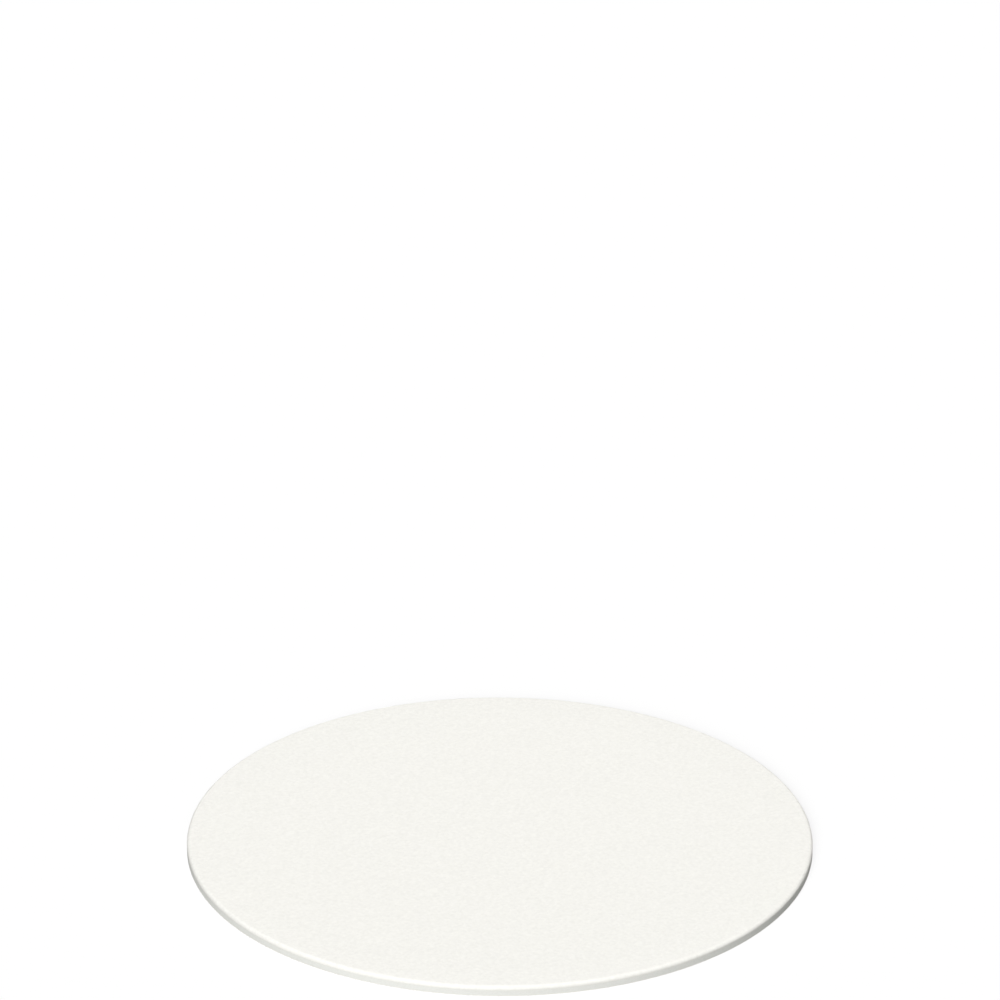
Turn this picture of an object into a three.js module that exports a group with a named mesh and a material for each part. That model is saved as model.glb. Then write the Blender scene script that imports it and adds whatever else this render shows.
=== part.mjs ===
// Round drink coaster, die-cut from laminated pulp board. Millimetres, +Z up, underside at z = 0.
// Five plies are bonded flat on each other: back paper, glue film, absorbent core board, glue film
// and face paper. The cutting die comes down through the face, so it draws the upper plies down over
// the rim in a rounded edge and leaves the lower edge square.
import * as THREE from "three";

// Driving dimensions
const DIAMETER = 95;
const BACK_PAPER_THICKNESS = 0.12;
const BACK_GLUE_THICKNESS = 0.02;
const CORE_BOARD_THICKNESS = 1.28;
const FACE_GLUE_THICKNESS = 0.02;
const FACE_PAPER_THICKNESS = 0.12;
const EDGE_RADIUS = 0.59; // rounded edge that the die draws between the face and the cut
const EDGE_TILT = THREE.MathUtils.degToRad(80); // slope at which the rounded edge meets the cut wall

// Facets
const TURN_FACETS = 96;
const EDGE_FACETS = 6;

const RADIUS = DIAMETER / 2;
const EDGE_START = RADIUS - EDGE_RADIUS * Math.sin(EDGE_TILT); // where the level face ends

// Section of a surface that the die leaves level, from the axis out to the cut
function levelSurface(height) {
  return [new THREE.Vector2(0, height), new THREE.Vector2(RADIUS, height)];
}

// Section of a surface that the die draws down: level, then the rounded edge
function drawnSurface(height) {
  const edge = new THREE.EllipseCurve(
    EDGE_START,
    height - EDGE_RADIUS,
    EDGE_RADIUS,
    EDGE_RADIUS,
    Math.PI / 2,
    Math.PI / 2 - EDGE_TILT,
    true,
  );
  return [new THREE.Vector2(0, height), ...edge.getPoints(EDGE_FACETS)];
}

// One ply as a closed solid of revolution, on its own underside and turned from Y up to Z up
function plyGeometry({ thickness, under, over }) {
  const section = [...under(0), ...over(thickness).reverse()];
  return new THREE.LatheGeometry(section, TURN_FACETS).rotateX(Math.PI / 2);
}

const paper = new THREE.MeshStandardMaterial({ color: 0xf6f6f1, roughness: 0.85, metalness: 0 });
const pulp = new THREE.MeshStandardMaterial({ color: 0xece9e0, roughness: 0.95, metalness: 0 });
const glue = new THREE.MeshStandardMaterial({ color: 0xe9e4d4, roughness: 0.5, metalness: 0 });

// The plies from the table up
const PLIES = [
  {
    name: "back_paper",
    thickness: BACK_PAPER_THICKNESS,
    under: levelSurface,
    over: levelSurface,
    material: paper,
  },
  {
    name: "back_glue_film",
    thickness: BACK_GLUE_THICKNESS,
    under: levelSurface,
    over: levelSurface,
    material: glue,
  },
  {
    name: "core_board",
    thickness: CORE_BOARD_THICKNESS,
    under: levelSurface,
    over: drawnSurface,
    material: pulp,
  },
  {
    name: "face_glue_film",
    thickness: FACE_GLUE_THICKNESS,
    under: drawnSurface,
    over: drawnSurface,
    material: glue,
  },
  {
    name: "face_paper",
    thickness: FACE_PAPER_THICKNESS,
    under: drawnSurface,
    over: drawnSurface,
    material: paper,
  },
];

// Each ply stands on the one below it
function stackPlies(plies) {
  const stack = new THREE.Group();
  let height = 0;
  for (const ply of plies) {
    const mesh = new THREE.Mesh(plyGeometry(ply), ply.material);
    mesh.name = ply.name;
    mesh.position.z = height;
    stack.add(mesh);
    height += ply.thickness;
  }
  return stack;
}

export default stackPlies(PLIES);
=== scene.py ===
"""A round white drink coaster of laminated pulp board, lying on a pale floor.

Five plies are pressed together and cut in one stroke: paper, glue, pulp board, glue, paper. The die draws
the upper plies down over the rim in a rounded edge. Each ply is revolved from its section by Geometry
Nodes, and stands for the frame's solid of the same ply. Sizes are in metres where nothing else is said.
"""

import math

import bpy
from mathutils import Matrix, Vector


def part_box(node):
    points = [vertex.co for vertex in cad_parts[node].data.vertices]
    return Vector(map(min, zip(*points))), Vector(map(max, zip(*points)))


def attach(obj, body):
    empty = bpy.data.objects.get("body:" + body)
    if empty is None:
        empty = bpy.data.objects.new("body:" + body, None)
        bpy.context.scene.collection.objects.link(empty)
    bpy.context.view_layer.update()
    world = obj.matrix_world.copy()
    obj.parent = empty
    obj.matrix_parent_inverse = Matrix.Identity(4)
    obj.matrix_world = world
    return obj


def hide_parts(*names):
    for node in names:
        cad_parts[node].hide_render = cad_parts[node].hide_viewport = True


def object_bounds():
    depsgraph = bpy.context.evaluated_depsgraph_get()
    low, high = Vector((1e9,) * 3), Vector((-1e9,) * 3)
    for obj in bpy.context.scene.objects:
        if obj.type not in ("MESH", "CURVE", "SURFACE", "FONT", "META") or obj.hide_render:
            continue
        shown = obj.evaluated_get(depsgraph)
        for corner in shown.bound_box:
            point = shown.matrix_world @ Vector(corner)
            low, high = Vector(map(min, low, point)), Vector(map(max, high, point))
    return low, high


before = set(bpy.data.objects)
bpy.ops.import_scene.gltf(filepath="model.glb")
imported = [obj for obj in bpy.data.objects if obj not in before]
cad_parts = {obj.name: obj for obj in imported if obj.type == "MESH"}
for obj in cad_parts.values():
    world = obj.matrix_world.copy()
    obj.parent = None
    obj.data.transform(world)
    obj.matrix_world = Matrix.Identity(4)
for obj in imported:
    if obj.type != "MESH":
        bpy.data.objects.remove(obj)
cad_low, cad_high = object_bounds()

MM = 0.001
WHITE = (1, 1, 1, 1)
IN_PLANE = (1, 1, 0)  # times a vector, leaves its part in the coaster's plane

# The rim's section, as the die leaves it
RADIUS = cad_high.x
EDGE_RADIUS = 0.59 * MM
EDGE_TILT = math.radians(80)

# The mesh: steps along the level and the rounded stretch of a section, its weld and its least crease
FLAT_STEPS = 8
EDGE_STEPS = 16
WELD_DISTANCE = 0.0002 * MM
CREASE = math.radians(18)

# Relief of the cut wall: its depth, and for each grain its share and how many lie in a millimetre
THIN_CUT = 0.006 * MM
CORE_CUT = 0.014 * MM
CUT_GRAINS = [
    (0.6, (4.5, 4.5, 0.5)),  # upright marks of the die
    (0.4, (1.6, 1.6, 12.0)),  # fibres that lie level
]

# Lengths of the finishes' grains in millimetres
PAPER_CLOUD = (0.55, 0.55, 0.55)
PAPER_TOOTH = (0.2, 0.2, 0.2)
PAPER_FIBRE = (1.5, 0.12, 0.5)
PULP_FIBRE = (0.8, 0.8, 0.06)
PULP_SHEAR = (0.14, 0.14, 1.4)
PULP_PORE = (0.2, 0.2, 0.07)
GLUE_SOAK = (0.33, 0.33, 0.12)

# How the paper's grains lie, in radians; a tilt keeps the noise's own lattice from showing on the face
FIBRE_TURNS = (0.2, 1.0, 1.8, 2.6)
CLOUD_TURN = 0.5
TOOTH_TURN = 1.1
LATTICE_TILT = 0.7

# How rough the finishes are, and how deep is the relief that is too fine for the mesh
PAPER_ROUGHNESS = 0.9
PRESSED_ROUGHNESS = 0.72
PULP_ROUGHNESS = 0.95
GLUE_ROUGHNESS = 0.45
PAPER_BUMP = 0.012 * MM
PULP_BUMP = 0.012 * MM

# The photograph's camera: where it stands from the coaster's middle, and where that falls in the frame
FRAME_PX = 1000
FOCAL_PX = 7558
MIDDLE_PX = (499.8, 845.2)
CAMERA_DISTANCE = 1.15
CAMERA_ELEVATION = math.radians(27.68)
CAMERA_ROLL = math.radians(0.18)
SENSOR_WIDTH_MM = 36

# Lamps by direction in degrees; a level of 1 makes a white sheet that faces the lamp render white
LAMPS = {
    # azimuth, elevation, level, spread, shadow
    "key": (-106, 25, 0.936, 30, True),
    "side_fill": (45, 16, 0.16, 30, False),
    "back_fill": (65, 55, 0.357, 30, False),
}
AMBIENT_LEVEL = 0.277

# The floor: the share of light that it throws back, how white it glows where it is seen, and its width
FLOOR_BOUNCE = 0.02
FLOOR_GLOW = 0.7
FLOOR_SIZE = 12


class Nodes:
    """A node tree written as calls: each adds a node, sets or links its inputs and returns it."""

    def __init__(self, tree):
        self.tree = tree

    def add(self, kind, inputs=None, **settings):
        node = self.tree.nodes.new(kind)
        for name, value in settings.items():
            setattr(node, name, value)
        for key, value in (inputs or {}).items():
            self.feed(node.inputs[key], value)
        return node

    def feed(self, socket, value):
        if isinstance(value, bpy.types.NodeSocket):
            self.tree.links.new(value, socket)
        else:
            socket.default_value = value

    def math(self, operation, *values, clamp=False):
        node = self.add("ShaderNodeMath", operation=operation, use_clamp=clamp)
        for socket, value in zip(node.inputs, values):
            self.feed(socket, value)
        return node.outputs["Value"]

    def weighed(self, *parts, start=0.0, clamp=False):
        """The start plus each value times its weight; a clamped sum ends between 0 and 1."""
        total = start
        for number, (value, weight) in enumerate(parts, 1):
            is_last = number == len(parts)
            total = self.math("MULTIPLY_ADD", value, weight, total, clamp=clamp and is_last)
        return total

    def vector(self, operation, first, second=None):
        node = self.add("ShaderNodeVectorMath", {0: first}, operation=operation)
        if second is not None:
            self.feed(node.inputs[1], second)
        return node.outputs["Value" if operation == "LENGTH" else "Vector"]

    def combine(self, x, y, z):
        return self.add("ShaderNodeCombineXYZ", {"X": x, "Y": y, "Z": z}).outputs["Vector"]


def shading_of(owner):
    """The emptied shader nodes of a material or a world."""
    owner.use_nodes = True
    owner.node_tree.nodes.clear()
    return Nodes(owner.node_tree)


def add_object(name, data):
    added = bpy.data.objects.new(name, data)
    bpy.context.scene.collection.objects.link(added)
    return added


# The ply, as a Geometry Nodes tree

PLY_INPUTS = {
    "Radius": "NodeSocketFloat",
    "Underside": "NodeSocketFloat",
    "Upper Side": "NodeSocketFloat",
    "Drawn Under": "NodeSocketFloat",
    "Drawn Over": "NodeSocketFloat",
    "Edge Radius": "NodeSocketFloat",
    "Edge Tilt": "NodeSocketFloat",
    "Cut Roughness": "NodeSocketFloat",
    "Seed": "NodeSocketFloat",
    "Turn Steps": "NodeSocketInt",
    "Wall Steps": "NodeSocketInt",
    "Finish": "NodeSocketMaterial",
}


def ply_tree():
    """Revolves the section of a pressed ply: underside, cut wall and upper side, closed at the axis."""
    tree = bpy.data.node_groups.new("pressed_ply", "GeometryNodeTree")
    for name, kind in PLY_INPUTS.items():
        tree.interface.new_socket(name, in_out="INPUT", socket_type=kind)
    tree.interface.new_socket("Ply", in_out="OUTPUT", socket_type="NodeSocketGeometry")
    n = Nodes(tree)
    size = n.add("NodeGroupInput").outputs
    welded = revolved_section(n, size)
    roughened = roughened_cut(n, size, welded)
    real = n.add("GeometryNodeRealizeInstances", {"Geometry": roughened}).outputs["Geometry"]
    finished = n.add("GeometryNodeSetMaterial", {"Geometry": real, "Material": size["Finish"]})
    n.add("NodeGroupOutput", {"Ply": finished.outputs["Geometry"]})
    return tree


def revolved_section(n, size):
    """The ply's closed skin, welded from strips that each run once round the axis."""
    calc = n.math
    edge_start = calc("SUBTRACT", size["Radius"],
                      calc("MULTIPLY", size["Edge Radius"], calc("SINE", size["Edge Tilt"])))

    def drop_at(tilt):
        """How far the rounded edge lies under the level face where it has this tilt."""
        return calc("MULTIPLY", size["Edge Radius"], calc("SUBTRACT", 1.0, calc("COSINE", tilt)))

    def level_stretch(t):
        return calc("MULTIPLY", edge_start, t), 0.0

    def edge_stretch(t):
        tilt = calc("MULTIPLY", size["Edge Tilt"], t)
        return calc("MULTIPLY_ADD", size["Edge Radius"], calc("SINE", tilt), edge_start), drop_at(tilt)

    def band(steps, place):
        """One strip; place gives its radius and height at t from 0 to 1 along the section."""
        columns = calc("ADD", size["Turn Steps"], 1)
        rows = calc("ADD", steps, 1)
        grid = n.add("GeometryNodeMeshGrid",
                     {"Size X": 1.0, "Size Y": 1.0, "Vertices X": columns, "Vertices Y": rows})
        at = n.add("ShaderNodeSeparateXYZ", {0: n.add("GeometryNodeInputPosition").outputs[0]}).outputs
        turn = calc("MULTIPLY", calc("ADD", at["X"], 0.5), math.tau)
        radius, height = place(calc("ADD", at["Y"], 0.5))
        position = n.combine(calc("MULTIPLY", radius, calc("COSINE", turn)),
                             calc("MULTIPLY", radius, calc("SINE", turn)), height)
        return n.add("GeometryNodeSetPosition",
                     {"Geometry": grid.outputs["Mesh"], "Position": position}).outputs["Geometry"]

    def side(stretch, level, drawn, outwards):
        """Places a stretch of the section on one side of the ply, run outwards below and inwards above."""
        def place(t):
            radius, drop = stretch(t if outwards else calc("SUBTRACT", 1.0, t))
            return radius, calc("SUBTRACT", level, calc("MULTIPLY", drop, drawn))
        return place

    def wall(t):
        full_drop = drop_at(size["Edge Tilt"])
        low = calc("SUBTRACT", size["Underside"], calc("MULTIPLY", full_drop, size["Drawn Under"]))
        high = calc("SUBTRACT", size["Upper Side"], calc("MULTIPLY", full_drop, size["Drawn Over"]))
        return size["Radius"], calc("MULTIPLY_ADD", calc("SUBTRACT", high, low), t, low)

    stretches = [(FLAT_STEPS, level_stretch), (EDGE_STEPS, edge_stretch)]
    bands = [band(steps, side(stretch, size["Underside"], size["Drawn Under"], True))
             for steps, stretch in stretches]
    bands.append(band(size["Wall Steps"], wall))
    bands += [band(steps, side(stretch, size["Upper Side"], size["Drawn Over"], False))
              for steps, stretch in reversed(stretches)]
    joined = n.add("GeometryNodeJoinGeometry")
    for strip in bands:
        n.feed(joined.inputs["Geometry"], strip)
    return n.add("GeometryNodeMergeByDistance",
                 {"Geometry": joined.outputs["Geometry"], "Distance": WELD_DISTANCE}).outputs["Geometry"]


def roughened_cut(n, size, ply):
    """Pushes the cut wall's points in and out along the radius, and leaves the two sides as they are."""
    position = n.add("GeometryNodeInputPosition").outputs[0]
    outward = n.vector("MULTIPLY", position, IN_PLANE)
    on_wall = n.math("GREATER_THAN", n.vector("LENGTH", outward),
                     n.math("SUBTRACT", size["Radius"], WELD_DISTANCE))
    relief = 0.0
    for share, grains in CUT_GRAINS:
        where = n.vector("MULTIPLY", position, tuple(count / MM for count in grains))
        inputs = {"Vector": where, "W": size["Seed"], "Scale": 1.0, "Detail": 2.0}
        noise = n.add("ShaderNodeTexNoise", inputs, noise_dimensions="4D").outputs["Fac"]
        relief = n.weighed((n.math("SUBTRACT", noise, 0.5), 2 * share), start=relief)
    amount = n.math("MULTIPLY", n.math("MULTIPLY", relief, size["Cut Roughness"]), on_wall)
    push = n.add("ShaderNodeVectorMath", {0: n.vector("NORMALIZE", outward), "Scale": amount},
                 operation="SCALE").outputs["Vector"]
    return n.add("GeometryNodeSetPosition", {"Geometry": ply, "Offset": push}).outputs["Geometry"]


def make_ply(name, tree, sizes):
    """One ply as a plain mesh, smooth but for the creases where the cut meets its two sides."""
    holder = add_object(name + "_nodes", bpy.data.meshes.new(name + "_nodes"))
    nodes = holder.modifiers.new("ply", "NODES")
    nodes.node_group = tree
    for socket in tree.interface.items_tree:
        if socket.in_out == "INPUT":
            nodes[socket.identifier] = sizes[socket.name]
    evaluated = holder.evaluated_get(bpy.context.evaluated_depsgraph_get())
    mesh = bpy.data.meshes.new_from_object(evaluated)
    bpy.data.objects.remove(holder)
    mesh.name = name
    mesh.shade_smooth()
    mesh.set_sharp_from_angle(angle=CREASE)
    return add_object(name, mesh)


# Finishes

def new_finish(name):
    """A material with its nodes, its shader and the object's coordinates in millimetres."""
    material = bpy.data.materials.new(name)
    n = shading_of(material)
    shader = n.add("ShaderNodeBsdfPrincipled")
    n.add("ShaderNodeOutputMaterial", {"Surface": shader.outputs["BSDF"]})
    place = n.vector("DIVIDE", n.add("ShaderNodeTexCoord").outputs["Object"], (MM, MM, MM))
    return material, n, shader, place


def grain(n, place, lengths, turn=0.0, tilt=0.0, detail=2.0, distortion=0.0):
    """Noise whose grains have these lengths in millimetres, turned about the coaster's axis and tilted."""
    mapped = n.add("ShaderNodeMapping", {"Vector": place, "Rotation": (tilt, 0, turn), "Scale": lengths},
                   vector_type="TEXTURE")
    inputs = {"Vector": mapped.outputs["Vector"], "Scale": 1.0, "Detail": detail, "Distortion": distortion}
    return n.add("ShaderNodeTexNoise", inputs).outputs["Fac"]


def threads(n, noise, sharpness):
    """Thin lines along the noise's middle level, as fibres look."""
    off_middle = n.math("ABSOLUTE", n.math("SUBTRACT", noise, 0.5))
    ridge = n.math("SUBTRACT", 1.0, n.math("MULTIPLY", off_middle, 2.0))
    return n.math("POWER", ridge, sharpness)


def tint(n, dark, light, factor):
    mixed = n.add("ShaderNodeMix", {"Factor": factor}, data_type="RGBA")
    n.feed(mixed.inputs["A"], (*dark, 1))
    n.feed(mixed.inputs["B"], (*light, 1))
    return mixed.outputs["Result"]


def set_surface(n, shader, colour, roughness, specular):
    n.feed(shader.inputs["Base Color"], colour)
    n.feed(shader.inputs["Roughness"], roughness)
    n.feed(shader.inputs["Specular IOR Level"], specular)


def set_bump(n, shader, height, depth):
    bump = n.add("ShaderNodeBump", {"Height": height, "Distance": depth, "Strength": 1.0})
    n.feed(shader.inputs["Normal"], bump.outputs["Normal"])


def paper_finish(name, light, dark):
    """Uncoated paper: faint clouds, matted fibres and a fine tooth, burnished where the die pressed it."""
    material, n, shader, place = new_finish(name)
    clouds = grain(n, place, PAPER_CLOUD, CLOUD_TURN, LATTICE_TILT)
    tooth = grain(n, place, PAPER_TOOTH, TOOTH_TURN, LATTICE_TILT, detail=4.0)
    fibres = 0.0
    for turn in FIBRE_TURNS:
        thread = threads(n, grain(n, place, PAPER_FIBRE, turn, distortion=0.8), sharpness=24.0)
        fibres = n.math("MAXIMUM", fibres, thread)
    whiteness = n.weighed((tooth, 1.1), (clouds, 1.8), (fibres, -0.3), start=-0.83, clamp=True)
    from_axis = n.vector("LENGTH", n.vector("MULTIPLY", place, IN_PLANE))
    pressed = n.add("ShaderNodeMapRange", {
        "Value": from_axis,
        "From Min": (RADIUS - EDGE_RADIUS) / MM,
        "From Max": RADIUS / MM,
        "To Min": PAPER_ROUGHNESS,
        "To Max": PRESSED_ROUGHNESS,
    }).outputs["Result"]
    roughness = n.weighed((tooth, 0.06), start=pressed)
    set_surface(n, shader, tint(n, dark, light, whiteness), roughness, specular=0.08)
    set_bump(n, shader, n.weighed((fibres, 0.35), start=tooth), PAPER_BUMP)
    return material


def pulp_finish(name, light, dark):
    """Cut pulp board: fibres lying level, end on and along, with upright marks of the die."""
    material, n, shader, place = new_finish(name)
    fibres = threads(n, grain(n, place, PULP_FIBRE, detail=3.0, distortion=0.4), sharpness=5.0)
    shear = grain(n, place, PULP_SHEAR)
    pores = grain(n, place, PULP_PORE)
    body = n.weighed((pores, 0.7), (fibres, 0.45))
    whiteness = n.weighed((shear, 0.25), start=body, clamp=True)
    set_surface(n, shader, tint(n, dark, light, whiteness), PULP_ROUGHNESS, specular=0.05)
    set_bump(n, shader, n.weighed((shear, 0.6), start=body), PULP_BUMP)
    return material


def glue_finish(name, light, dark):
    """Dried glue, dull and slightly yellow, broken by the fibres that it soaked into."""
    material, n, shader, place = new_finish(name)
    soaked = grain(n, place, GLUE_SOAK, detail=3.0)
    roughness = n.weighed((soaked, 0.3), start=GLUE_ROUGHNESS)
    set_surface(n, shader, tint(n, dark, light, soaked), roughness, specular=0.15)
    return material


# The finishes by their light and dark tints, in linear colour

face_paper = paper_finish("face_paper_white", (0.966, 0.956, 0.91), (0.88, 0.87, 0.826))
back_paper = paper_finish("back_paper_white", (0.956, 0.944, 0.896), (0.87, 0.858, 0.812))
pulp_core = pulp_finish("pulp_core_white", (0.893, 0.901, 0.857), (0.742, 0.742, 0.694))
glue_line = glue_finish("dried_glue", (0.78, 0.76, 0.68), (0.7, 0.68, 0.6))

# The plies from the table up: whether the rounding draws the under and the upper side down, and the cut

PLIES = [
    # piece, solid, slot, finish, drawn under, drawn over, cut roughness, turn steps, wall steps
    ("back_sheet", "back_paper", "back_paper", back_paper, False, False, THIN_CUT, 720, 4),
    ("back_glue_line", "back_glue_film", "glue", glue_line, False, False, THIN_CUT, 720, 2),
    ("pulp_core", "core_board", "pulp_core", pulp_core, False, True, CORE_CUT, 1440, 16),
    ("face_glue_line", "face_glue_film", "glue", glue_line, True, True, THIN_CUT, 720, 2),
    ("face_sheet", "face_paper", "face_paper", face_paper, True, True, THIN_CUT, 720, 4),
]

tree = ply_tree()
underside = cad_low.z
for seed, (name, node, slot, finish, under, over, cut, turn_steps, wall_steps) in enumerate(PLIES):
    upper_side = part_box(node)[1].z
    ply = make_ply(name, tree, {
        "Radius": RADIUS,
        "Underside": underside,
        "Upper Side": upper_side,
        "Drawn Under": float(under),
        "Drawn Over": float(over),
        "Edge Radius": EDGE_RADIUS,
        "Edge Tilt": EDGE_TILT,
        "Cut Roughness": cut,
        "Seed": float(seed),
        "Turn Steps": turn_steps,
        "Wall Steps": wall_steps,
        "Finish": finish,
    })
    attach(ply, "root")
    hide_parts(node)
    underside = upper_side


# Floor, lamps and camera

def by_ray(n, passed_on, shown):
    """Mixes two shaders: one where light is only passed on, one where the camera or a mirror sees it."""
    path = n.add("ShaderNodeLightPath").outputs
    seen = n.math("MAXIMUM", path["Is Camera Ray"], path["Is Glossy Ray"])
    seen = n.math("MAXIMUM", seen, path["Is Transmission Ray"])
    return n.add("ShaderNodeMixShader", {0: seen, 1: passed_on, 2: shown}).outputs["Shader"]


def pale_floor():
    """A white floor that takes the coaster's shadow but throws little light back up at its edge."""
    mesh = bpy.data.meshes.new("floor")
    half = FLOOR_SIZE / 2
    corners = [(-half, -half, 0), (half, -half, 0), (half, half, 0), (-half, half, 0)]
    mesh.from_pydata(corners, [], [(0, 1, 2, 3)])
    floor = add_object("floor", mesh)
    material = bpy.data.materials.new("pale_floor")
    n = shading_of(material)
    shaded = n.add("ShaderNodeBsdfDiffuse", {"Color": WHITE}).outputs["BSDF"]
    white = n.add("ShaderNodeEmission", {"Color": WHITE, "Strength": 1.0}).outputs["Emission"]
    shown = n.add("ShaderNodeMixShader", {0: FLOOR_GLOW, 1: shaded, 2: white}).outputs["Shader"]
    bounced = n.add("ShaderNodeBsdfDiffuse", {"Color": (FLOOR_BOUNCE,) * 3 + (1,)}).outputs["BSDF"]
    n.add("ShaderNodeOutputMaterial", {"Surface": by_ray(n, bounced, shown)})
    mesh.materials.append(material)


def lamp(name, azimuth, elevation, level, spread, shadow):
    """A broad far-off soft lamp; azimuth 0 is along +X and -90 on the photograph's side."""
    data = bpy.data.lights.new(name, "SUN")
    data.energy = math.pi * level
    data.angle = math.radians(spread)
    data.use_shadow = shadow
    turn, rise = math.radians(azimuth), math.radians(elevation)
    towards = Vector((math.cos(turn) * math.cos(rise), math.sin(turn) * math.cos(rise), math.sin(rise)))
    sun = add_object(name, data)
    sun.rotation_euler = towards.to_track_quat("Z", "Y").to_euler()
    sun.location = towards


def soft_surround():
    """White where it is seen, and a weak even light on the coaster."""
    world = bpy.data.worlds.new("soft_surround")
    n = shading_of(world)
    shown = n.add("ShaderNodeBackground", {"Color": WHITE, "Strength": 1.0}).outputs["Background"]
    weak = n.add("ShaderNodeBackground", {"Color": WHITE, "Strength": AMBIENT_LEVEL}).outputs["Background"]
    n.add("ShaderNodeOutputWorld", {"Surface": by_ray(n, weak, shown)})
    bpy.context.scene.world = world


def photo_camera():
    """Stands where the photograph's camera stood, and looks so that the coaster lies low in the frame."""
    data = bpy.data.cameras.new("camera")
    data.sensor_width = SENSOR_WIDTH_MM
    data.lens = SENSOR_WIDTH_MM * FOCAL_PX / FRAME_PX
    camera = add_object("camera", data)
    away = CAMERA_DISTANCE * math.cos(CAMERA_ELEVATION)
    camera.location = (0, -away, CAMERA_DISTANCE * math.sin(CAMERA_ELEVATION))
    # The ray to the coaster's middle, with the roll taken out, sets the pitch and then the small turn
    right, down = ((pixel - FRAME_PX / 2) / FOCAL_PX for pixel in MIDDLE_PX)
    roll = Matrix.Rotation(CAMERA_ROLL, 3, "Z")
    ray = roll @ Vector((right, -down, -1))
    pitch = Matrix.Rotation(math.pi / 2 - CAMERA_ELEVATION + math.atan(ray.y / ray.z), 3, "X")
    ahead = pitch @ ray
    turn = Matrix.Rotation(math.atan2(ahead.x, ahead.y), 3, "Z")
    camera.rotation_euler = (turn @ pitch @ roll).to_euler()
    bpy.context.scene.camera = camera


pale_floor()
for name, setting in LAMPS.items():
    lamp(name, *setting)
soft_surround()
photo_camera()
bpy.context.scene.view_settings.view_transform = "Standard"
